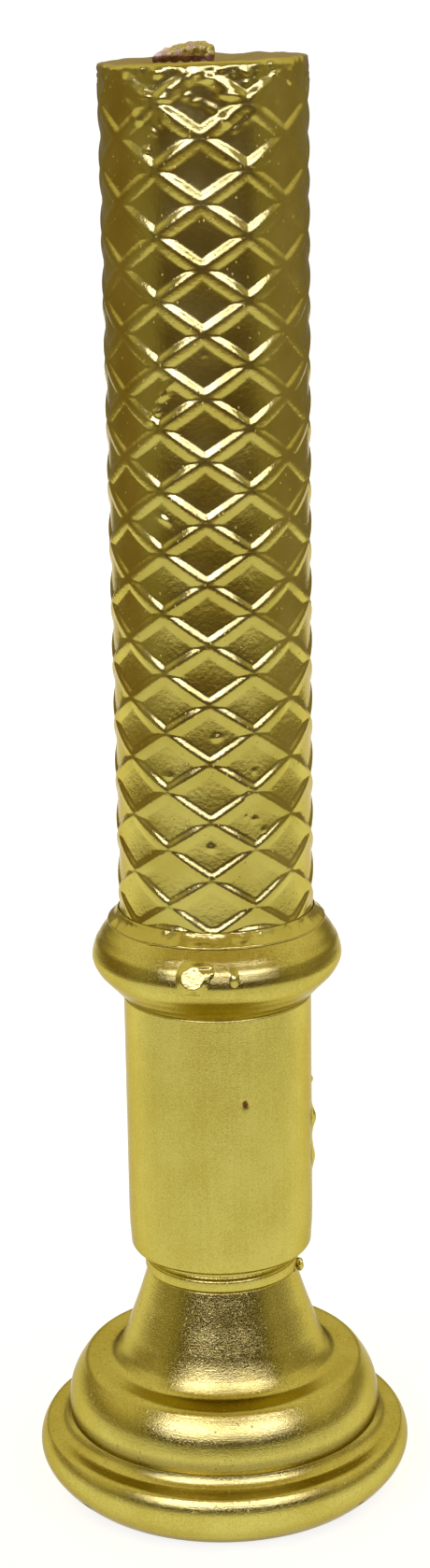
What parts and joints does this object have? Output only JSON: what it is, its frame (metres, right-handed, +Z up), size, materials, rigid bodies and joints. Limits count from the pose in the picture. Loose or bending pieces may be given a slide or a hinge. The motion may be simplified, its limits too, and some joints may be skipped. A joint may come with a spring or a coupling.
{
  "type": "altar candlestick",
  "caption": "Turned and gilded altar candlestick with a bell foot, barrel and round collar, holding a lattice-moulded pillar candle on a spike.",
  "frame": {"origin": "centre of the flat underside of the base felt, on the surface that the candlestick stands on", "axes": "+Z up along the turning axis, towards the wick; -Y is the front, with a rib crossing of the candle near it; +X is to the right seen from the front"},
  "size_m": [0.1012, 0.1012, 0.3798],
  "materials": {
    "felt": "dark green felt",
    "gilt_wood": "wood under satin metallic gold paint",
    "steel": "zinc-plated",
    "cup_brass": "satin pressed sheet",
    "gilt_wax": "moulded wax under glossy gold lacquer",
    "wick": "cotton stiffened with lacquer",
    "lacquer": "set metallic gold lacquer"
  },
  "bodies": {
    "stick": {"base_felt": "felt", "foot_plinth": "gilt_wood", "foot_bell": "gilt_wood", "neck_ring": "gilt_wood", "foot_washer": "steel", "foot_nut": "steel", "barrel": "gilt_wood", "collar": "gilt_wood", "candle_cup": "cup_brass", "pricket": "steel", "tie_rod": "steel", "lacquer_pool": "lacquer", "collar_drip_large": "lacquer", "collar_drip_small": "lacquer", "barrel_run": "lacquer", "neck_drip": "lacquer"},
    "candle": {"candle": "gilt_wax", "wick": "wick"}
  },
  "joints": [
    {"name": "candle_lift", "type": "slide", "parent": "stick", "child": "candle", "axis": [0, 0, 1], "range_m": [0, 0.03]}
  ]
}
